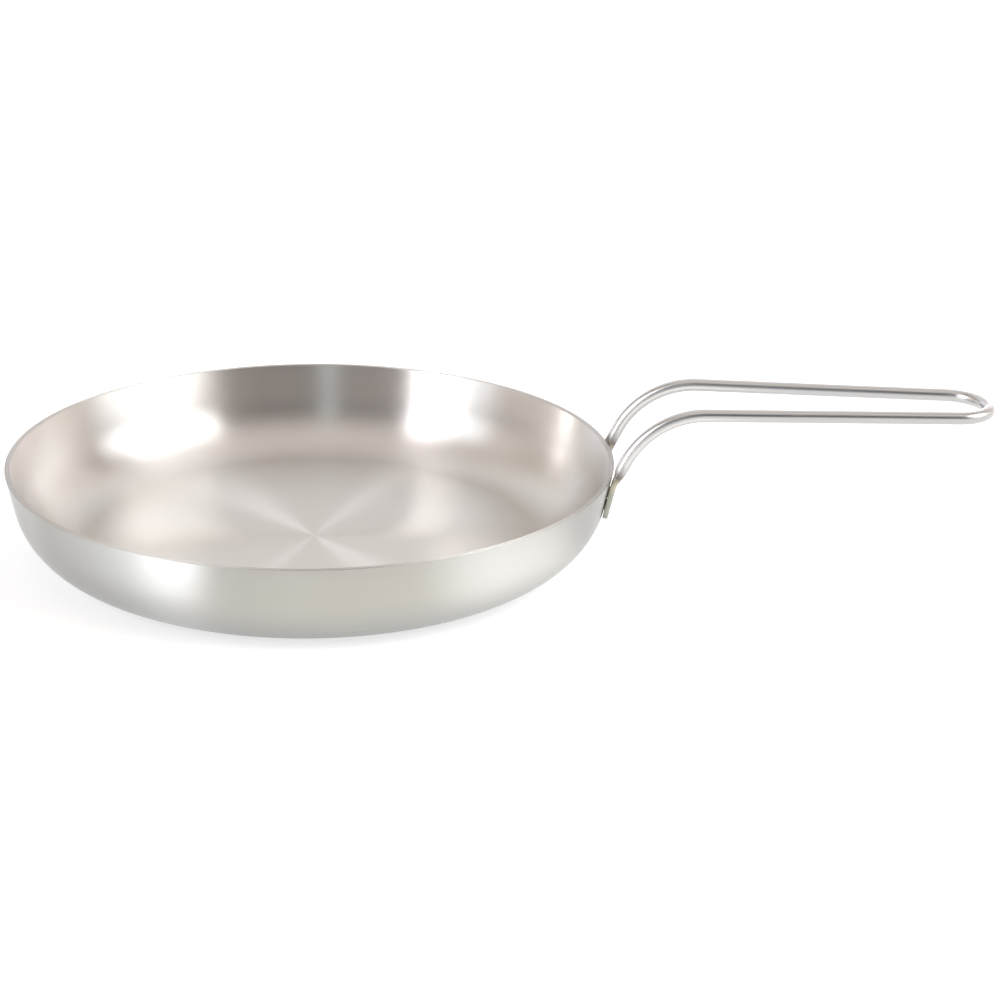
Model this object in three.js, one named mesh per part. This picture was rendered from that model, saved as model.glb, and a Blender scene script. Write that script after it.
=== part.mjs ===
// Steak serving pan: a shallow round pan of three-layer clad sheet with a loop handle of bent rod.
// Millimetres, +Z up. The origin is the centre of the base's underside, and the handle runs along +X.
import * as THREE from 'three';

// Pan, outside sizes
const RIM_DIAMETER = 240;
const PAN_HEIGHT = 37;
const WALL_LEAN_DEG = 11.2; // from upright: the wall opens towards the rim
const CORNER_RADIUS = 28.5; // where the base turns up into the wall

// Clad sheet, from the outside in, with the bond line between two layers
const SKIN_THICKNESS = 0.4;
const CORE_THICKNESS = 1.1;
const LINING_THICKNESS = 0.4;
const BOND_LINE = 0.05;

// Handle rod, bent into one loop
const ROD_DIAMETER = 5;
const FOOT_SPACING = 42.2; // between the middles of the two flattened feet, at their tops
const LEG_LEAN_DEG = 24.5; // from upright, where the rod leaves the rim
const LEG_TAPER_DEG = 2.74; // each leg draws in towards the end of the loop
const GRIP_RISE = 25.1; // rim to the corner where leg and grip would meet without the bend
const GRIP_DROP_DEG = 0.74; // the grip falls a little towards its end
const BEND_RADIUS = 34.5; // middle of the rod, leg to grip
const HANDLE_REACH = 270.4; // pan's axis to the far edge of the loop

// Flattened feet of the rod, which lie along the wall
const FOOT_TOP_DEPTH = 3.5; // below the rim, along the wall
const FOOT_LENGTH = 14.3;
const FOOT_WIDTH = 8.6;
const FOOT_ROOT_THICKNESS = 2.2;
const FOOT_TIP_THICKNESS = 1.9;
const FOOT_TIP_ROUND = 4.5; // how far up the foot its rounded tip reaches
const FOOT_BEND_RADIUS = 8; // between the foot and the leg

// Spot welds between the feet and the wall
const WELD_GAP = 0.3; // foot to wall
const WELD_DIAMETER = 4.5;
const WELD_CLEARANCE = 0.05; // weld to foot and weld to wall
const WELD_INSET = 3.3; // top of the foot to the middle of the upper weld
const WELD_PITCH = 5.4; // upper weld to lower weld

// Facets
const TURN_STEPS = 64;
const CORNER_STEPS = 8;
const ROD_SIDES = 16;
const TIP_STEPS = 4;
const FOOT_BEND_STEPS = 2;
const FLARE_STEPS = 5;
const BEND_STEPS = 10;
const HALF_LOOP_STEPS = 9;
const WELD_SIDES = 20;

const wallLean = THREE.MathUtils.degToRad(WALL_LEAN_DEG);
const legLean = THREE.MathUtils.degToRad(LEG_LEAN_DEG);
const legTaper = THREE.MathUtils.degToRad(LEG_TAPER_DEG);
const gripDrop = THREE.MathUtils.degToRad(GRIP_DROP_DEG);

const rimRadius = RIM_DIAMETER / 2;
const cornerTop = CORNER_RADIUS * (1 - Math.sin(wallLean));
const wallSpread = (PAN_HEIGHT - cornerTop) * Math.tan(wallLean);
const baseRadius = rimRadius - wallSpread - CORNER_RADIUS * Math.cos(wallLean);

// Half section of the pan at a depth into its sheet: base, corner and wall, from the axis to the rim.
function sheetProfile(depth) {
  const radius = CORNER_RADIUS - depth;
  const points = [new THREE.Vector2(0, depth)];
  for (let step = 0; step <= CORNER_STEPS; step++) {
    const angle = (step / CORNER_STEPS) * (Math.PI / 2 - wallLean);
    const x = baseRadius + radius * Math.sin(angle);
    const y = CORNER_RADIUS - radius * Math.cos(angle);
    points.push(new THREE.Vector2(x, y));
  }
  points.push(new THREE.Vector2(rimRadius - depth / Math.cos(wallLean), PAN_HEIGHT));
  return points;
}

// One layer of the clad sheet, spun about the pan's axis and trimmed level at the rim.
function sheetLayer(depth, thickness) {
  const outside = sheetProfile(depth);
  const inside = sheetProfile(depth + thickness).reverse();
  return new THREE.LatheGeometry([...outside, ...inside], TURN_STEPS).rotateX(Math.PI / 2);
}

// Directions: out along the handle, across it to the left foot, and up
const out = new THREE.Vector3(1, 0, 0);
const across = new THREE.Vector3(0, 1, 0);
const up = new THREE.Vector3(0, 0, 1);

// A unit direction turned by an angle from one direction towards another that is square to it.
function turned(from, towards, angle) {
  return from.clone().multiplyScalar(Math.cos(angle)).addScaledVector(towards, Math.sin(angle));
}

// The line down the wall that the middle of the left foot follows
const footMiddle = WELD_GAP + FOOT_ROOT_THICKNESS / 2;
const footTopRadius = rimRadius - FOOT_TOP_DEPTH * Math.sin(wallLean) + footMiddle * Math.cos(wallLean);
const footAzimuth = Math.asin(FOOT_SPACING / 2 / footTopRadius);
const radial = turned(out, across, footAzimuth);
const wallUp = turned(up, radial, wallLean);
const wallOut = turned(radial, up, -wallLean);
const rimPoint = radial.clone().multiplyScalar(rimRadius).addScaledVector(up, PAN_HEIGHT);

// A point beside the wall, at a depth below the rim and a distance off the sheet.
function besideWall(depth, distance) {
  return rimPoint.clone().addScaledVector(wallUp, -depth).addScaledVector(wallOut, distance);
}

// Points on an arc that starts at centre + from * radius and sets off along a unit direction.
function arc(centre, from, along, radius, turn, steps) {
  const points = [];
  for (let step = 0; step <= steps; step++) {
    const angle = (turn * step) / steps;
    const point = centre.clone().addScaledVector(from, radius * Math.cos(angle));
    points.push(point.addScaledVector(along, radius * Math.sin(angle)));
  }
  return points;
}

// The bend that rounds the corner between two straight runs of the rod.
function bend(corner, before, after, radius, steps) {
  const turn = before.angleTo(after);
  const inward = after.clone().addScaledVector(before, -Math.cos(turn)).normalize();
  const start = corner.clone().addScaledVector(before, -radius * Math.tan(turn / 2));
  const centre = start.clone().addScaledVector(inward, radius);
  return arc(centre, inward.negate(), before, radius, turn, steps);
}

// Stations along the rod: the middle of each section, its width and thickness, and the way its
// width lies. A round section needs no such direction.
function station(middle, width, thickness, level) {
  return { middle, width, thickness, level };
}

function roundStation(middle) {
  return station(middle, ROD_DIAMETER, ROD_DIAMETER, null);
}

function footThickness(depth) {
  const share = (depth - FOOT_TOP_DEPTH) / FOOT_LENGTH;
  return THREE.MathUtils.lerp(FOOT_ROOT_THICKNESS, FOOT_TIP_THICKNESS, share);
}

// From the rounded tip of the left foot, up its leg and along the grip to the end of the loop.
function halfHandle() {
  const tipDepth = FOOT_TOP_DEPTH + FOOT_LENGTH;
  const footTop = besideWall(FOOT_TOP_DEPTH, footMiddle);
  const footTip = besideWall(tipDepth, WELD_GAP + FOOT_TIP_THICKNESS / 2);
  const footUp = footTop.clone().sub(footTip).normalize();
  const legHeading = turned(out, across, -legTaper);
  const legUp = turned(up, legHeading, legLean);
  const gripMiddle = turned(out, up, -gripDrop);
  const gripOut = turned(gripMiddle, across, -legTaper);
  const legLength = (PAN_HEIGHT + GRIP_RISE - footTop.z) / legUp.z;
  const corner = footTop.clone().addScaledVector(legUp, legLength);
  const footLevel = up.clone().cross(radial);
  const legLevel = up.clone().cross(legHeading);

  const stations = [];
  for (let step = 1; step <= TIP_STEPS; step++) {
    const angle = (step / TIP_STEPS) * (Math.PI / 2);
    const depth = tipDepth - FOOT_TIP_ROUND * (1 - Math.cos(angle));
    const thickness = footThickness(depth);
    const middle = besideWall(depth, WELD_GAP + thickness / 2);
    stations.push(station(middle, FOOT_WIDTH * Math.sin(angle), thickness, footLevel));
  }
  for (const middle of bend(footTop, footUp, legUp, FOOT_BEND_RADIUS, FOOT_BEND_STEPS)) {
    stations.push(station(middle, FOOT_WIDTH, FOOT_ROOT_THICKNESS, footLevel));
  }

  // The straight run of the leg flares from the flat foot to the round rod
  const legBend = bend(corner, legUp, gripOut, BEND_RADIUS, BEND_STEPS);
  const flareStart = stations.at(-1).middle;
  for (let step = 1; step < FLARE_STEPS; step++) {
    const share = THREE.MathUtils.smoothstep(step, 0, FLARE_STEPS);
    const middle = flareStart.clone().lerp(legBend[0], step / FLARE_STEPS);
    const width = THREE.MathUtils.lerp(FOOT_WIDTH, ROD_DIAMETER, share);
    const thickness = THREE.MathUtils.lerp(FOOT_ROOT_THICKNESS, ROD_DIAMETER, share);
    stations.push(station(middle, width, thickness, footLevel.clone().lerp(legLevel, share)));
  }
  stations.push(...legBend.map(roundStation));

  // The end of the loop is an arc that touches both legs, in the plane of the grip
  const cornerReach = corner.x / gripMiddle.x;
  const loopReach = (HANDLE_REACH - ROD_DIAMETER / 2) / gripMiddle.x;
  const legOffset = corner.y * Math.cos(legTaper) + cornerReach * Math.sin(legTaper);
  const centreReach = (loopReach - legOffset) / (1 - Math.sin(legTaper));
  const loopRadius = loopReach - centreReach;
  const centre = corner.clone().addScaledVector(gripMiddle, centreReach - cornerReach).setY(0);
  const side = turned(across, gripMiddle, legTaper);
  const halfTurn = Math.PI / 2 - legTaper;
  const halfLoop = arc(centre, side, gripOut, loopRadius, halfTurn, HALF_LOOP_STEPS);
  stations.push(...halfLoop.map(roundStation));
  return stations;
}

// Outline of a section in its own plane: flat faces and half-round edges, a circle where it is as
// thick as it is wide.
function sectionOutline(width, thickness) {
  const radius = thickness / 2;
  const flat = Math.max(0, width - thickness) / 2;
  const edgeSides = ROD_SIDES / 2;
  const points = [];
  for (const edge of [1, -1]) {
    for (let side = 0; side < edgeSides; side++) {
      const angle = Math.PI * ((side + 1 / 2) / edgeSides - 1 / 2);
      const x = edge * (flat + radius * Math.cos(angle));
      const y = edge * radius * Math.sin(angle);
      points.push(new THREE.Vector2(x, y));
    }
  }
  return points;
}

// A closed skin over the stations, each section square to the rod.
function loft(stations) {
  const count = stations.length;
  const positions = [];
  const faces = [];
  for (let i = 0; i < count; i++) {
    const { middle, width, thickness, level } = stations[i];
    const along = new THREE.Vector3();
    if (i > 0) along.add(middle.clone().sub(stations[i - 1].middle).normalize());
    if (i < count - 1) along.add(stations[i + 1].middle.clone().sub(middle).normalize());
    along.normalize();
    const wide = (level ?? up.clone().cross(along)).clone().projectOnPlane(along).normalize();
    const thick = along.clone().cross(wide);
    for (const { x, y } of sectionOutline(width, thickness)) {
      const point = middle.clone().addScaledVector(wide, x).addScaledVector(thick, y);
      positions.push(...point);
    }
  }
  for (let i = 0; i < count - 1; i++) {
    for (let j = 0; j < ROD_SIDES; j++) {
      const a = i * ROD_SIDES + j;
      const b = i * ROD_SIDES + ((j + 1) % ROD_SIDES);
      faces.push(a, b, b + ROD_SIDES, a, b + ROD_SIDES, a + ROD_SIDES);
    }
  }
  const last = (count - 1) * ROD_SIDES;
  for (let j = 1; j < ROD_SIDES - 1; j++) {
    faces.push(0, j + 1, j);
    faces.push(last, last + j, last + j + 1);
  }
  const geometry = new THREE.BufferGeometry();
  geometry.setAttribute('position', new THREE.Float32BufferAttribute(positions, 3));
  geometry.setIndex(faces);
  return geometry;
}

function mirror(vector) {
  return vector.clone().setY(-vector.y);
}

// The rod is the same on both sides of the pan's middle plane.
function handleGeometry() {
  const left = halfHandle();
  const right = left.slice(0, -1).reverse().map(({ middle, width, thickness, level }) => {
    return station(mirror(middle), width, thickness, level && mirror(level));
  });
  return loft([...left, ...right]);
}

const materials = {
  skin: new THREE.MeshStandardMaterial({ color: 0xbdbfba, metalness: 1, roughness: 0.35 }),
  core: new THREE.MeshStandardMaterial({ color: 0xd3d5d8, metalness: 1, roughness: 0.45 }),
  lining: new THREE.MeshStandardMaterial({ color: 0xd5cdc8, metalness: 1, roughness: 0.3 }),
  rod: new THREE.MeshStandardMaterial({ color: 0xc4c3be, metalness: 1, roughness: 0.22 }),
  weld: new THREE.MeshStandardMaterial({ color: 0x9c927c, metalness: 1, roughness: 0.5 }),
};

const pan = new THREE.Group();

function addPiece(name, geometry, material) {
  const mesh = new THREE.Mesh(geometry, material);
  mesh.name = name;
  pan.add(mesh);
  return mesh;
}

const coreDepth = SKIN_THICKNESS + BOND_LINE;
const liningDepth = coreDepth + CORE_THICKNESS + BOND_LINE;
addPiece('outer_skin', sheetLayer(0, SKIN_THICKNESS), materials.skin);
addPiece('aluminium_core', sheetLayer(coreDepth, CORE_THICKNESS), materials.core);
addPiece('inner_lining', sheetLayer(liningDepth, LINING_THICKNESS), materials.lining);
addPiece('handle_loop', handleGeometry(), materials.rod);

// Two welds under each foot, one above the other, square to the wall
const weldRadius = WELD_DIAMETER / 2;
const weldHeight = WELD_GAP - 2 * WELD_CLEARANCE;
const weldGeometry = new THREE.CylinderGeometry(weldRadius, weldRadius, weldHeight, WELD_SIDES);
weldGeometry.rotateX(Math.PI / 2);
const upperDepth = FOOT_TOP_DEPTH + WELD_INSET;
const lowerDepth = upperDepth + WELD_PITCH;
for (const [height, depth] of [['upper', upperDepth], ['lower', lowerDepth]]) {
  const place = besideWall(depth, WELD_GAP / 2);
  const left = addPiece(`left_${height}_weld`, weldGeometry, materials.weld);
  left.position.copy(place);
  left.quaternion.setFromUnitVectors(up, wallOut);
  const right = addPiece(`right_${height}_weld`, weldGeometry, materials.weld);
  right.position.copy(mirror(place));
  right.quaternion.setFromUnitVectors(up, mirror(wallOut));
}

export default pan;
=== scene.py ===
"""Steak serving pan: the looks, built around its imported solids. Metres, +Z up, the handle along +X."""

import math

import bmesh
import bpy
from mathutils import Matrix, Vector


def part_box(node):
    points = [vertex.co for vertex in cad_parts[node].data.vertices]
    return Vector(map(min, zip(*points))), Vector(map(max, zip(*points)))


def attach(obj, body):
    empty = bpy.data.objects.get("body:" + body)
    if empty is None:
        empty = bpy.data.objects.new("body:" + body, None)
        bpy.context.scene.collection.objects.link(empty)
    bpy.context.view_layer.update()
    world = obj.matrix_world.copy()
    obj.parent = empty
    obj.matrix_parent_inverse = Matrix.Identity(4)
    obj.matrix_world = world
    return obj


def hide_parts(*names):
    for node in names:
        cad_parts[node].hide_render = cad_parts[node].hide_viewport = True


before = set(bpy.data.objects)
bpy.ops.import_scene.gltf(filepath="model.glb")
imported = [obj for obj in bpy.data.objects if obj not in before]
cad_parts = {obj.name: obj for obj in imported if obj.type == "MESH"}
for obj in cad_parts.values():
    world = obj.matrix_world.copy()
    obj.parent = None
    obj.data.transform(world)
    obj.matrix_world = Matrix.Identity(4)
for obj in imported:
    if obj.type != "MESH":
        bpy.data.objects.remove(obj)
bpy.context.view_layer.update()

# Outer skin: the outside of the pan, 0.4 mm of magnetic stainless steel. It is the outer layer of a
# clad blank that is spun over a former into a flat base, a round corner and a leaning wall, trimmed
# level at the rim, and brushed while it turns.
MM = 0.001
WALL_LEAN = math.radians(11.2)
CORNER_RADIUS = 28.5 * MM
SKIN_THICKNESS = 0.4 * MM
RIM_ROUND = 0.12 * MM
CORNER_STEPS = 28
TURN_STEPS = 288
SHARP_ANGLE = math.radians(40)

skin_low, skin_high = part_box("outer_skin")
rim_radius = skin_high.x
pan_height = skin_high.z
corner_top = CORNER_RADIUS * (1 - math.sin(WALL_LEAN))
wall_spread = (pan_height - corner_top) * math.tan(WALL_LEAN)
base_radius = rim_radius - wall_spread - CORNER_RADIUS * math.cos(WALL_LEAN)


def extruded(mesh, vert, place):
    """Draws an edge from a vertex to a new one at a place, and returns the new one."""
    made = bmesh.ops.extrude_vert_indiv(mesh, verts=[vert])
    made["verts"][0].co = place
    return made["verts"][0]


def sheet_profile(mesh, depth):
    """Half section of the sheet at a depth in from its outside, from the axis to the rim."""
    axis = mesh.verts.new((0, 0, depth))
    base_edge = extruded(mesh, axis, (base_radius, 0, depth))
    corner = bmesh.ops.spin(
        mesh,
        geom=[base_edge],
        cent=(base_radius, 0, CORNER_RADIUS),
        axis=(0, -1, 0),
        angle=math.pi / 2 - WALL_LEAN,
        steps=CORNER_STEPS,
    )
    wall_foot = next(part for part in corner["geom_last"] if isinstance(part, bmesh.types.BMVert))
    return extruded(mesh, wall_foot, (rim_radius - depth / math.cos(WALL_LEAN), 0, pan_height))


def finished(mesh, name, material):
    """Turns a bmesh into a smooth object with its material, riding on the pan."""
    data = bpy.data.meshes.new(name)
    mesh.to_mesh(data)
    mesh.free()
    data.shade_smooth()
    data.set_sharp_from_angle(angle=SHARP_ANGLE)
    data.materials.append(material)
    made = bpy.data.objects.new(name, data)
    bpy.context.scene.collection.objects.link(made)
    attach(made, "root")
    return made


def sheet_layer(name, depth, thickness, material):
    """One layer of the clad sheet, spun about the pan's axis, with the burr taken off its rim."""
    mesh = bmesh.new()
    outer_rim = sheet_profile(mesh, depth)
    inner_rim = sheet_profile(mesh, depth + thickness)
    mesh.edges.new((outer_rim, inner_rim))
    bmesh.ops.bevel(
        mesh,
        geom=[outer_rim, inner_rim],
        offset=RIM_ROUND,
        affect="VERTICES",
        segments=3,
        profile=0.5,
        material=-1,
    )
    bmesh.ops.spin(
        mesh,
        geom=mesh.verts[:] + mesh.edges[:],
        cent=(0, 0, 0),
        axis=(0, 0, 1),
        angle=math.tau,
        steps=TURN_STEPS,
        use_merge=True,
    )
    bmesh.ops.remove_doubles(mesh, verts=mesh.verts, dist=MM / 1000)
    bmesh.ops.recalc_face_normals(mesh, faces=mesh.faces)
    return finished(mesh, name, material)


def colour(hex_value):
    """An sRGB hex value as a linear colour."""
    parts = [int(hex_value[i : i + 2], 16) / 255 for i in (1, 3, 5)]
    return [p / 12.92 if p <= 0.04045 else ((p + 0.055) / 1.055) ** 2.4 for p in parts] + [1]


def add(tree, kind, inputs, **settings):
    """Adds a node with its settings; each input is a plain value or the socket that feeds it."""
    node = tree.nodes.new("ShaderNode" + kind)
    for name, value in settings.items():
        setattr(node, name, value)
    for name, value in inputs.items():
        if isinstance(value, bpy.types.NodeSocket):
            tree.links.new(value, node.inputs[name])
        else:
            node.inputs[name].default_value = value
    return node


def shader_tree(name):
    """A new node material, with its tree and its Principled shader."""
    material = bpy.data.materials.new(name)
    material.use_nodes = True
    tree = material.node_tree
    return material, tree, tree.nodes["Principled BSDF"]


# Grit lines on the real sheet are about 0.1 mm apart, too fine to show, so they are drawn coarser.
BRUSH_SPACING = 0.7 * MM
BRUSH_STROKE = 25 * MM
BRUSH_DEPTH = 0.002 * MM
CLOUD_SIZE = 40 * MM
CUT_EDGE = "#CBC9C5"
CUT_ROUGHNESS = 0.8


def spun_metal(name, light, dark, roughness, roughness_spread):
    """Sheet metal brushed on the lathe: reflections stay sharp along the rings and smear across them,
    so the base shows bright fans from its centre and the wall tall soft patches."""
    material, tree, shader = shader_tree(name)
    place = add(tree, "TexCoord", {}).outputs["Object"]
    height = add(tree, "SeparateXYZ", {"Vector": place}).outputs["Z"]
    level = add(tree, "VectorMath", {0: place, 1: (1, 1, 0)}, operation="MULTIPLY").outputs["Vector"]
    radius = add(tree, "VectorMath", {0: level}, operation="LENGTH").outputs["Value"]
    outward = add(tree, "VectorMath", {0: level}, operation="NORMALIZE").outputs["Vector"]
    # Rings are counted along the half section, and strokes round the pan
    across = add(tree, "Math", {0: radius, 1: height}, operation="ADD").outputs["Value"]
    ring = add(tree, "Math", {0: across, 1: BRUSH_SPACING}, operation="DIVIDE").outputs["Value"]
    turn = rim_radius / BRUSH_STROKE
    round_pan = add(tree, "VectorMath", {0: outward, "Scale": turn}, operation="SCALE").outputs["Vector"]
    up_section = add(tree, "CombineXYZ", {"Z": ring}).outputs["Vector"]
    lines_at = add(tree, "VectorMath", {0: round_pan, 1: up_section}, operation="ADD").outputs["Vector"]
    lines = add(tree, "TexNoise", {"Vector": lines_at, "Scale": 1, "Detail": 3, "Roughness": 0.6})
    clouds = add(tree, "TexNoise", {"Vector": place, "Scale": 1 / CLOUD_SIZE, "Detail": 2})
    blotch = add(tree, "Mix", {0: 0.5, 2: lines.outputs["Fac"], 3: clouds.outputs["Fac"]})
    tone = add(
        tree,
        "Mix",
        {0: blotch.outputs[0], 6: colour(dark), 7: colour(light)},
        data_type="RGBA",
    )
    # The trimmed edge is duller and rougher than the brushed faces
    cut = add(
        tree,
        "MapRange",
        {"Value": height, "From Min": pan_height - RIM_ROUND, "From Max": pan_height - RIM_ROUND / 4},
        interpolation_type="SMOOTHSTEP",
    )
    edged = add(
        tree,
        "Mix",
        {0: cut.outputs["Result"], 6: tone.outputs[2], 7: colour(CUT_EDGE)},
        data_type="RGBA",
    )
    gloss = add(
        tree,
        "MapRange",
        {
            "Value": lines.outputs["Fac"],
            "From Min": 0.3,
            "From Max": 0.7,
            "To Min": roughness - roughness_spread,
            "To Max": roughness + roughness_spread,
        },
    )
    matt = add(tree, "Mix", {0: cut.outputs["Result"], 2: gloss.outputs["Result"], 3: CUT_ROUGHNESS})
    relief = add(tree, "Bump", {"Height": lines.outputs["Fac"], "Strength": 1, "Distance": BRUSH_DEPTH})
    rings = add(tree, "VectorMath", {0: (0, 0, 1), 1: outward}, operation="CROSS_PRODUCT")
    tree.links.new(edged.outputs[2], shader.inputs["Base Color"])
    tree.links.new(matt.outputs[0], shader.inputs["Roughness"])
    tree.links.new(relief.outputs["Normal"], shader.inputs["Normal"])
    tree.links.new(rings.outputs["Vector"], shader.inputs["Tangent"])
    shader.inputs["Metallic"].default_value = 1
    shader.inputs["Anisotropic"].default_value = 0.95
    shader.inputs["Anisotropic Rotation"].default_value = 0.25
    return material


outer_steel = spun_metal("spun_magnetic_stainless", "#AFB0AE", "#A9AAA8", 0.34, 0.02)
outer_skin = sheet_layer("pan_outer_skin", 0, SKIN_THICKNESS, outer_steel)
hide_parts("outer_skin")

# Aluminium core: the thick middle layer of the clad sheet, rolled aluminium that spreads the heat.
# It is bonded between the two steels and shows only as a dull line in the cut rim.
CORE_THICKNESS = 1.1 * MM
BOND_LINE = 0.05 * MM
core_depth = SKIN_THICKNESS + BOND_LINE

core_metal = spun_metal("trimmed_aluminium", "#C9C6C2", "#BDBAB6", 0.42, 0.04)
aluminium_core = sheet_layer("pan_aluminium_core", core_depth, CORE_THICKNESS, core_metal)
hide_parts("aluminium_core")

# Inner lining: the cooking surface, 0.4 mm of stainless steel with nickel, a little warmer than the
# outside. It is spun with the other layers and brushed in rings from the centre to the rim.
LINING_THICKNESS = 0.4 * MM
lining_depth = core_depth + CORE_THICKNESS + BOND_LINE

inner_steel = spun_metal("spun_nickel_stainless", "#D0CDC9", "#CAC7C3", 0.33, 0.02)
inner_lining = sheet_layer("pan_inner_lining", lining_depth, LINING_THICKNESS, inner_steel)
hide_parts("inner_lining")

# Handle loop: one 5 mm drawn stainless rod, bent in a former into a long loop. Its two ends are
# pressed flat into feet, which lie on the outside of the wall and are spot-welded to it.
ROD_RADIUS = 2.5 * MM
FOOT_SPACING = 42.2 * MM
LEG_LEAN = math.radians(24.5)
LEG_TAPER = math.radians(2.74)
GRIP_RISE = 25.1 * MM
GRIP_DROP = math.radians(0.74)
BEND_RADIUS = 34.5 * MM
FOOT_TOP_DEPTH = 3.5 * MM
FOOT_LENGTH = 14.3 * MM
FOOT_WIDTH = 8.6 * MM
FOOT_ROOT_THICKNESS = 2.2 * MM
FOOT_TIP_THICKNESS = 1.9 * MM
FOOT_TIP_ROUND = 4.5 * MM
FOOT_BEND_RADIUS = 8 * MM
SQUARENESS = 0.75
WELD_GAP = 0.3 * MM
ROD_SIDES = 32
TIP_STEPS = 12
FOOT_STEPS = 6
FOOT_BEND_STEPS = 6
FLARE_STEPS = 20
BEND_STEPS = 40
GRIP_STEPS = 24
HALF_LOOP_STEPS = 40

handle_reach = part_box("handle_loop")[1].x
OUT = Vector((1, 0, 0))
ACROSS = Vector((0, 1, 0))
UP = Vector((0, 0, 1))


def turned(start, towards, angle):
    """A unit direction turned by an angle towards another that is square to it."""
    return start * math.cos(angle) + towards * math.sin(angle)


def smooth_share(share):
    """A share from 0 to 1 that starts and ends gently."""
    return share * share * (3 - 2 * share)


# The line down the wall that the middle of the left foot follows
foot_middle = WELD_GAP + FOOT_ROOT_THICKNESS / 2
foot_top_radius = rim_radius - FOOT_TOP_DEPTH * math.sin(WALL_LEAN) + foot_middle * math.cos(WALL_LEAN)
foot_radial = turned(OUT, ACROSS, math.asin(FOOT_SPACING / 2 / foot_top_radius))
wall_up = turned(UP, foot_radial, WALL_LEAN)
wall_out = turned(foot_radial, UP, -WALL_LEAN)


def beside_wall(depth, distance):
    """A point at a depth below the rim, down the wall, and a distance off the sheet."""
    return foot_radial * rim_radius + UP * pan_height - wall_up * depth + wall_out * distance


def foot_thickness(depth):
    """How thick the pressed foot is at a depth below the rim."""
    share = (depth - FOOT_TOP_DEPTH) / FOOT_LENGTH
    return FOOT_ROOT_THICKNESS + (FOOT_TIP_THICKNESS - FOOT_ROOT_THICKNESS) * share


def arc(centre, start, along, radius, turn, steps):
    """Points on an arc that begins at centre + start * radius and sets off along a direction."""
    return [centre + turned(start, along, turn * step / steps) * radius for step in range(steps + 1)]


def bend(corner, before, after, radius, steps):
    """The arc that rounds the corner between two straight runs of the rod."""
    turn = before.angle(after)
    inward = (after - before * math.cos(turn)).normalized()
    centre = corner - before * (radius * math.tan(turn / 2)) + inward * radius
    return arc(centre, -inward, before, radius, turn, steps)


def straight(start, end, steps):
    """Points inside a straight run, without its two ends."""
    return [start.lerp(end, step / steps) for step in range(1, steps)]


def half_handle():
    """Stations from the tip of the left foot to the end of the loop: middle, width, thickness, level."""
    tip_depth = FOOT_TOP_DEPTH + FOOT_LENGTH
    foot_top = beside_wall(FOOT_TOP_DEPTH, foot_middle)
    foot_tip = beside_wall(tip_depth, WELD_GAP + FOOT_TIP_THICKNESS / 2)
    foot_up = (foot_top - foot_tip).normalized()
    leg_heading = turned(OUT, ACROSS, -LEG_TAPER)
    leg_up = turned(UP, leg_heading, LEG_LEAN)
    grip_middle = turned(OUT, UP, -GRIP_DROP)
    grip_out = turned(grip_middle, ACROSS, -LEG_TAPER)
    corner = foot_top + leg_up * ((pan_height + GRIP_RISE - foot_top.z) / leg_up.z)
    foot_level = UP.cross(foot_radial)
    leg_level = UP.cross(leg_heading)
    rod = 2 * ROD_RADIUS

    stations = []
    for step in range(1, TIP_STEPS + 1):
        angle = step / TIP_STEPS * math.pi / 2
        depth = tip_depth - FOOT_TIP_ROUND * (1 - math.cos(angle))
        thick = foot_thickness(depth)
        middle = beside_wall(depth, WELD_GAP + thick / 2)
        stations.append((middle, FOOT_WIDTH * math.sin(angle), thick, foot_level))
    foot_bend = bend(foot_top, foot_up, leg_up, FOOT_BEND_RADIUS, FOOT_BEND_STEPS)
    root_depth = tip_depth - FOOT_TIP_ROUND
    for middle in straight(stations[-1][0], foot_bend[0], FOOT_STEPS):
        depth = root_depth - (middle - stations[TIP_STEPS - 1][0]).length
        stations.append((middle, FOOT_WIDTH, foot_thickness(depth), foot_level))
    stations += [(middle, FOOT_WIDTH, FOOT_ROOT_THICKNESS, foot_level) for middle in foot_bend]
    leg_bend = bend(corner, leg_up, grip_out, BEND_RADIUS, BEND_STEPS)
    for step, middle in enumerate(straight(foot_bend[-1], leg_bend[0], FLARE_STEPS), start=1):
        share = smooth_share(step / FLARE_STEPS)
        width = FOOT_WIDTH + (rod - FOOT_WIDTH) * share
        thick = FOOT_ROOT_THICKNESS + (rod - FOOT_ROOT_THICKNESS) * share
        stations.append((middle, width, thick, foot_level.lerp(leg_level, share)))
    stations += [(middle, rod, rod, None) for middle in leg_bend]

    # The end of the loop is an arc that touches both legs, in the plane of the grip
    corner_reach = corner.x / grip_middle.x
    loop_reach = (handle_reach - ROD_RADIUS) / grip_middle.x
    leg_offset = corner.y * math.cos(LEG_TAPER) + corner_reach * math.sin(LEG_TAPER)
    centre_reach = (loop_reach - leg_offset) / (1 - math.sin(LEG_TAPER))
    loop_radius = loop_reach - centre_reach
    centre = corner + grip_middle * (centre_reach - corner_reach)
    centre.y = 0
    side = turned(ACROSS, grip_middle, LEG_TAPER)
    half_loop = arc(centre, side, grip_out, loop_radius, math.pi / 2 - LEG_TAPER, HALF_LOOP_STEPS)
    grip = straight(leg_bend[-1], half_loop[0], GRIP_STEPS)
    stations += [(middle, rod, rod, None) for middle in grip + half_loop]
    return stations


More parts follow.
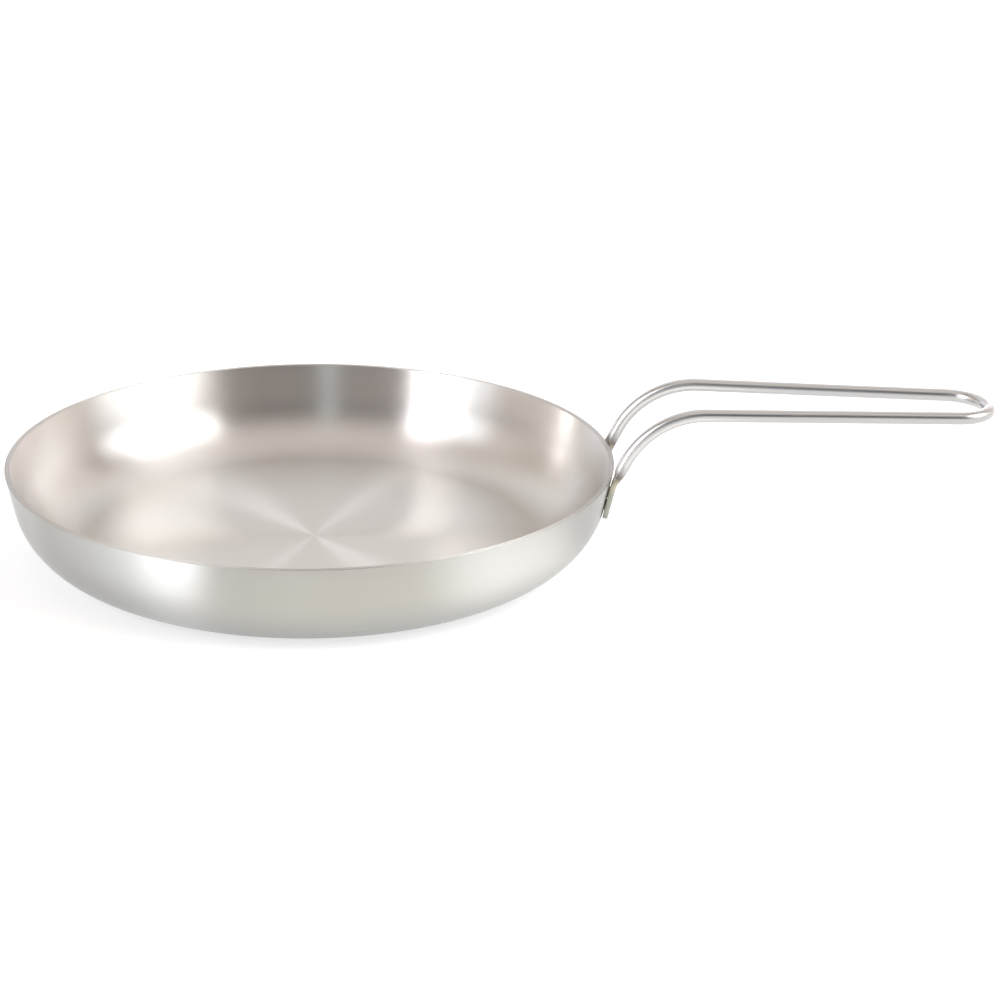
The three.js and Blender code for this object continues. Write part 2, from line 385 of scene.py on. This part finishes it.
def bent_rod(name, material):
    """The handle: a ring drawn from station to station, mirrored to the other leg."""
    mesh = bmesh.new()
    # Where each vertex lay on the straight rod, before it was bent and its end was pressed flat
    straight_rod = mesh.verts.layers.float_vector.new("straight_rod")
    # Half a side's turn keeps every vertex off the section's middle lines
    half_side = Matrix.Rotation(math.pi / ROD_SIDES, 4, "Z")
    circle = bmesh.ops.create_circle(mesh, segments=ROD_SIDES, radius=ROD_RADIUS, matrix=half_side)
    for vert in circle["verts"]:
        vert[straight_rod] = vert.co
    ring = circle["verts"]
    edges = list({edge for vert in ring for edge in vert.link_edges})
    stations = half_handle()
    run = 0
    for i, (middle, width, thick, level) in enumerate(stations):
        before = stations[max(i - 1, 0)][0]
        after = stations[min(i + 1, len(stations) - 1)][0]
        along = ((middle - before).normalized() + (after - middle).normalized()).normalized()
        run += (middle - before).length
        if i > 0:
            drawn = bmesh.ops.extrude_edge_only(mesh, edges=edges)["geom"]
            ring = [part for part in drawn if isinstance(part, bmesh.types.BMVert)]
            fresh = set(ring)
            edges = [part for part in drawn if isinstance(part, bmesh.types.BMEdge)]
            edges = [edge for edge in edges if fresh.issuperset(edge.verts)]
        if i == len(stations) - 1:
            along = -ACROSS
        wide = level or UP.cross(along)
        wide = (wide - along * wide.dot(along)).normalized()
        deep = along.cross(wide)
        flat = max(0, width - thick) / 2
        # The die that presses the foot leaves its back flat, with squarer edges next to the wall
        pressed = min(1, (2 * ROD_RADIUS - thick) / (2 * ROD_RADIUS - FOOT_ROOT_THICKNESS))
        for vert in ring:
            x, y, _ = vert[straight_rod] / ROD_RADIUS
            if y > 0:
                x = math.copysign(abs(x) ** (1 - SQUARENESS * pressed), x)
                y = y ** (1 - SQUARENESS * pressed)
            vert.co = middle + wide * (x * thick / 2 + math.copysign(flat, x)) + deep * (y * thick / 2)
            vert[straight_rod].z = run
        if i == 0:
            bmesh.ops.contextual_create(mesh, geom=edges)
    # The last ring lies in the mirror plane, where the two halves join
    for vert in ring:
        vert.co.y = 0
    half = mesh.verts[:] + mesh.edges[:] + mesh.faces[:]
    bmesh.ops.mirror(mesh, geom=half, axis="Y", merge_dist=MM / 1000)
    bmesh.ops.recalc_face_normals(mesh, faces=mesh.faces)
    return finished(mesh, name, material)


# Drawing lines on the real rod are finer than 0.1 mm, so they are drawn coarser.
DRAW_LINE = 0.25 * MM
DRAW_STROKE = 30 * MM
HEAT_REACH = 26 * MM
WELD_GREY = "#9EA096"
STRAW = "#B0AC9B"
# The grey and straw are heat tint from the welds; the brown is painted shade at the pressed shoulder of
# each foot, where the bending surface mirrors the dark room
SHOULDER_SHADE_BROWN = "#827B75"
HEAT_TINT_AND_SHADE_BANDS = ((0.45, WELD_GREY), (0.56, STRAW), (0.63, STRAW), (0.7, SHOULDER_SHADE_BROWN))


def drawn_steel(name, light, dark):
    """Drawn stainless rod, polished: bright along its edges and dark down its middle, with faint drawing
    lines along it.
    The welds left its feet a dull grey, then straw; above them a brown line is painted shade on the
    pressed shoulder."""
    material, tree, shader = shader_tree(name)
    rod = add(tree, "Attribute", {}, attribute_name="straight_rod").outputs["Vector"]
    stretch = (1 / DRAW_LINE, 1 / DRAW_LINE, 1 / DRAW_STROKE)
    lines_at = add(tree, "VectorMath", {0: rod, 1: stretch}, operation="MULTIPLY").outputs["Vector"]
    lines = add(tree, "TexNoise", {"Vector": lines_at, "Scale": 1, "Detail": 2})
    tone = add(
        tree,
        "Mix",
        {0: lines.outputs["Fac"], 6: colour(dark), 7: colour(light)},
        data_type="RGBA",
    )
    run = add(tree, "SeparateXYZ", {"Vector": rod}).outputs["Z"]
    reach = add(tree, "Math", {0: run, 1: HEAT_REACH}, operation="DIVIDE").outputs["Value"]
    # Grey and straw are weld tint; the brown at the far end of the ramp is painted shade on the pressed
    # shoulder
    oxide = add(tree, "ValToRGB", {"Fac": reach})
    oxide.color_ramp.elements[0].color = colour(WELD_GREY)
    oxide.color_ramp.elements[1].color = colour(SHOULDER_SHADE_BROWN)
    for share, tint in HEAT_TINT_AND_SHADE_BANDS:
        oxide.color_ramp.elements.new(share).color = colour(tint)
    clean = add(
        tree,
        "MapRange",
        {"Value": reach, "From Min": 0.7, "From Max": 0.84},
        interpolation_type="SMOOTHSTEP",
    )
    tint_and_painted_shade = add(
        tree,
        "Mix",
        {0: clean.outputs["Result"], 6: oxide.outputs["Color"], 7: tone.outputs[2]},
        data_type="RGBA",
    )
    gloss = add(
        tree,
        "MapRange",
        {"Value": lines.outputs["Fac"], "From Min": 0.3, "From Max": 0.7, "To Min": 0.29, "To Max": 0.35},
    )
    pressed = add(
        tree,
        "MapRange",
        {"Value": reach, "From Min": 0.7, "From Max": 1, "To Min": 0.3, "To Max": 0},
        interpolation_type="SMOOTHSTEP",
    )
    dulled = add(tree, "Math", {0: gloss.outputs["Result"], 1: pressed.outputs["Result"]}, operation="ADD")
    tree.links.new(tint_and_painted_shade.outputs[2], shader.inputs["Base Color"])
    tree.links.new(dulled.outputs["Value"], shader.inputs["Roughness"])
    shader.inputs["Metallic"].default_value = 1
    return material


rod_steel = drawn_steel("drawn_stainless_rod", "#BDBDBC", "#B0B0AF")
handle_loop = bent_rod("handle_rod", rod_steel)
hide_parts("handle_loop")

# Spot welds: two under each foot, where an electrode fused the rod to the wall. Each is a thin disc
# of melted steel, coloured straw by the heat and mostly hidden behind the foot.
WELD_GRAIN = 0.4 * MM


def fused_steel(name, light, dark):
    """Fused steel: dull and mottled, with a straw to brown oxide."""
    material, tree, shader = shader_tree(name)
    place = add(tree, "TexCoord", {}).outputs["Object"]
    mottle = add(tree, "TexNoise", {"Vector": place, "Scale": 1 / WELD_GRAIN, "Detail": 3})
    tone = add(
        tree,
        "Mix",
        {0: mottle.outputs["Fac"], 6: colour(dark), 7: colour(light)},
        data_type="RGBA",
    )
    gloss = add(
        tree,
        "MapRange",
        {"Value": mottle.outputs["Fac"], "From Min": 0.3, "From Max": 0.7, "To Min": 0.4, "To Max": 0.6},
    )
    tree.links.new(tone.outputs[2], shader.inputs["Base Color"])
    tree.links.new(gloss.outputs["Result"], shader.inputs["Roughness"])
    shader.inputs["Metallic"].default_value = 1
    return material


weld_steel = fused_steel("fused_steel", "#B3A68A", "#83765C")
for side in ("left", "right"):
    for height in ("upper", "lower"):
        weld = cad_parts[f"{side}_{height}_weld"]
        weld.data.materials.clear()
        weld.data.materials.append(weld_steel)

# Studio: a white table under the pan, two softboxes in front on the left and right, lit walls behind
# and an unlit room behind the camera. Brushed steel mirrors all of it, so each light has its place:
# the softboxes are the white patches inside the pan, the unlit room the dark part between them.
FLOOR_RADIUS = 5.0
FLOOR_GAP = 0.1 * MM

floor_mesh = bmesh.new()
bmesh.ops.create_circle(
    floor_mesh,
    cap_ends=True,
    segments=96,
    radius=FLOOR_RADIUS,
    matrix=Matrix.Translation((0, 0, -FLOOR_GAP)),
)
floor_data = bpy.data.meshes.new("floor")
floor_mesh.to_mesh(floor_data)
floor_mesh.free()


def bearing_of(tree, place):
    """The bearing of a place or a direction about the pan's axis, in degrees from the handle."""
    parts = add(tree, "SeparateXYZ", {"Vector": place}).outputs
    turn = add(tree, "Math", {0: parts["Y"], 1: parts["X"]}, operation="ARCTAN2").outputs["Value"]
    return add(tree, "Math", {0: turn}, operation="DEGREES").outputs["Value"]


def powered_share(tree, off, half_size, squareness):
    """How far off the middle of a patch something lies, as a power of its share of the half size."""
    size = add(tree, "Math", {0: off}, operation="ABSOLUTE").outputs["Value"]
    share = add(tree, "Math", {0: size, 1: half_size}, operation="DIVIDE").outputs["Value"]
    return add(tree, "Math", {0: share, 1: squareness}, operation="POWER").outputs["Value"]


def with_patch(tree, under, across, up, patch):
    """Lays a soft-edged patch of light over what is under it. A patch has its middle and half size
    across and up, a lean sideways as it rises, corners that get squarer with its power, and a fade."""
    middle, half_width = patch["across"]
    height, half_height = patch["up"]
    power = patch.get("power", 4)
    fade = patch.get("fade", 0.5)
    above = add(tree, "Math", {0: up, 1: height}, operation="SUBTRACT").outputs["Value"]
    leant = {0: above, 1: patch.get("lean", 0), 2: middle}
    axis = add(tree, "Math", leant, operation="MULTIPLY_ADD").outputs["Value"]
    beside = add(tree, "Math", {0: across, 1: axis}, operation="SUBTRACT").outputs["Value"]
    nearest = add(tree, "Math", {0: beside, 1: 180, 2: -180}, operation="WRAP").outputs["Value"]
    wide = powered_share(tree, nearest, half_width, power)
    tall = powered_share(tree, above, half_height, power)
    both = add(tree, "Math", {0: wide, 1: tall}, operation="ADD").outputs["Value"]
    off = add(tree, "Math", {0: both, 1: 1 / power}, operation="POWER").outputs["Value"]
    ends = {"Value": off, "From Min": 1 + fade / 2, "From Max": 1 - fade / 2}
    share = add(tree, "MapRange", ends, interpolation_type="SMOOTHSTEP").outputs["Result"]
    return add(tree, "Mix", {0: share, 6: under, 7: (*patch["light"], 1)}, data_type="RGBA").outputs[2]


# Light on the table: bearings in degrees from the handle, and reach from the pan's axis in millimetres.
# The pools of light and the one shade are painted into the table's glow; they stand for what the softboxes
# and the front of the room leave on it, and the outside of the pan mirrors them.
TABLE_LIGHT = (0.6, 0.6, 0.6)
FRONT_PAINTED_POOL = {"across": (-80, 52), "up": (162, 40), "fade": 1, "light": (1, 0.92, 0.76)}
LEFT_PAINTED_POOL = {"across": (-139, 26), "up": (190, 45), "fade": 0.4, "light": (4.9, 4.9, 4.9)}
RIGHT_PAINTED_POOL = {"across": (-34, 18), "up": (155, 30), "fade": 1.4, "light": (1.8, 1.75, 1.68)}
LEFT_PAINTED_SHADE = {"across": (-162, 44), "up": (175, 60), "fade": 1.9, "light": (0.42, 0.42, 0.42)}

# White laminate table top: quite matt, and glowing so brightly that it looks plain white, with painted
# pools of light and a painted shade in its glow
white_table, table_tree, table_shader = shader_tree("white_table")
table_place = add(table_tree, "TexCoord", {}).outputs["Object"]
table_bearing = bearing_of(table_tree, table_place)
table_length = add(table_tree, "VectorMath", {0: table_place}, operation="LENGTH").outputs["Value"]
table_reach = add(table_tree, "Math", {0: table_length, 1: MM}, operation="DIVIDE").outputs["Value"]
table_glow_and_painted_light = (*TABLE_LIGHT, 1)
# Painted light: the pools and the shade are laid into the table's glow on top of what the lamps cast
for patch in (FRONT_PAINTED_POOL, LEFT_PAINTED_POOL, RIGHT_PAINTED_POOL, LEFT_PAINTED_SHADE):
    table_glow_and_painted_light = with_patch(table_tree, table_glow_and_painted_light, table_bearing, table_reach, patch)
table_tree.links.new(table_glow_and_painted_light, table_shader.inputs["Emission Color"])
table_shader.inputs["Base Color"].default_value = colour("#C4C4C4")
table_shader.inputs["Roughness"].default_value = 1
table_shader.inputs["Specular IOR Level"].default_value = 0
table_shader.inputs["Emission Strength"].default_value = 1
floor_data.materials.append(white_table)
floor = bpy.data.objects.new("floor", floor_data)
bpy.context.scene.collection.objects.link(floor)

# Light round the table: bearings and heights in degrees. Behind the pan are a shaded wall, a lit one
# and low lamps, which the two ends of the inside mirror.
ROOM_LIGHT = (1.15, 1.05, 1)
SHADED_WALL = {"across": (125, 42), "up": (40, 27), "fade": 0.6, "light": (0.65, 0.55, 0.45)}
LIT_WALL = {"across": (100, 42), "up": (43, 21), "light": (1.35, 1.35, 1.35)}
LOW_WALL = {"across": (116, 21), "up": (7, 12), "fade": 0.4, "light": (1.85, 1.95, 2.15)}
BACK_LAMP = {"across": (68, 16), "up": (0, 13), "fade": 0.4, "light": (7, 6.2, 6.8)}
SLIT_LAMP = {"across": (153, 3.5), "up": (2, 9), "light": (7, 6.5, 6.5)}
LOW_RIGHT_WALL = {"across": (46, 34), "up": (-3, 12), "light": (1.35, 1.2, 1.05)}
# High at the sides hang dark curtains, with a pale skirt under the left softbox
RIGHT_CURTAIN = {"across": (10, 25), "up": (46, 24), "light": (0.25, 0.18, 0.13)}
SOFTBOX_SKIRT = {"across": (-154, 15), "up": (27, 13), "light": (2.8, 3, 3.2)}
LEFT_CURTAIN = {"across": (-176, 28), "up": (58, 12), "light": (0.35, 0.22, 0.14)}
# Behind the camera the room is unlit, but for a dim corner and one pale strip
DARK_ROOM = {"across": (-87, 52), "up": (30, 21), "fade": 0.3, "light": (0.04, 0.04, 0.05)}
DIM_CORNER = {"across": (-112, 16), "up": (30, 20), "fade": 0.8, "light": (0.15, 0.15, 0.16)}
PALE_STRIP = {"across": (-93, 4), "up": (19, 26), "fade": 0.6, "light": (0.8, 0.9, 0.95)}
# The two softboxes, the right one with a lower part of its own
LEFT_SOFTBOX = {
    "across": (-139, 10.5),
    "up": (2, 49),
    "lean": -0.1,
    "power": 3,
    "fade": 0.25,
    "light": (7.5, 7.5, 8),
}
RIGHT_SOFTBOX = {
    "across": (-15, 26),
    "up": (39, 11.5),
    "lean": 0.1,
    "power": 3,
    "fade": 0.25,
    "light": (6.7, 6.7, 6.8),
}
RIGHT_SOFTBOX_FOOT = {
    "across": (-9, 25),
    "up": (23, 7.5),
    "lean": 0.2,
    "power": 2.5,
    "fade": 0.3,
    "light": (5, 5.2, 5.4),
}

world = bpy.data.worlds.new("studio")
world.use_nodes = True
bpy.context.scene.world = world
sky = world.node_tree
heading = add(sky, "TexCoord", {}).outputs["Generated"]
bearing = bearing_of(sky, heading)
rise = add(sky, "SeparateXYZ", {"Vector": heading}).outputs["Z"]
slope = add(sky, "Math", {0: rise}, operation="ARCSINE").outputs["Value"]
elevation = add(sky, "Math", {0: slope}, operation="DEGREES").outputs["Value"]
lit = (*ROOM_LIGHT, 1)
for patch in (
    SHADED_WALL,
    LIT_WALL,
    LOW_WALL,
    BACK_LAMP,
    SLIT_LAMP,
    LOW_RIGHT_WALL,
    RIGHT_CURTAIN,
    SOFTBOX_SKIRT,
    LEFT_CURTAIN,
    DARK_ROOM,
    DIM_CORNER,
    PALE_STRIP,
    LEFT_SOFTBOX,
    RIGHT_SOFTBOX,
    RIGHT_SOFTBOX_FOOT,
):
    lit = with_patch(sky, lit, bearing, elevation, patch)
# The photograph's background is plain white, so that is what the camera sees of the room
seen = add(sky, "LightPath", {}).outputs["Is Camera Ray"]
pale = add(sky, "Mix", {0: seen, 6: lit, 7: (1, 1, 1, 1)}, data_type="RGBA").outputs[2]
sky.links.new(pale, sky.nodes["Background"].inputs["Color"])

# Camera: the photograph's viewpoint, worked out from the rim, the outline and the handle. Its focal
# length is counted in pixels of the square frame.
CAMERA_PLACE = Vector((55.6, -807.5, 327.5)) * MM
CAMERA_YAW = math.radians(-1.39)
CAMERA_PITCH = math.radians(-20.96)
CAMERA_ROLL = math.radians(1.23)
FOCAL_PIXELS = 2150
FRAME_PIXELS = 1001
SENSOR_WIDTH = 36

camera_data = bpy.data.cameras.new("camera")
camera_data.sensor_width = SENSOR_WIDTH
camera_data.lens = SENSOR_WIDTH * FOCAL_PIXELS / FRAME_PIXELS
camera = bpy.data.objects.new("camera", camera_data)
camera.matrix_world = (
    Matrix.Translation(CAMERA_PLACE)
    @ Matrix.Rotation(CAMERA_YAW, 4, "Z")
    @ Matrix.Rotation(math.pi / 2 + CAMERA_PITCH, 4, "X")
    @ Matrix.Rotation(CAMERA_ROLL, 4, "Z")
)
bpy.context.scene.collection.objects.link(camera)
bpy.context.scene.camera = camera
bpy.context.scene.view_settings.view_transform = "Standard"
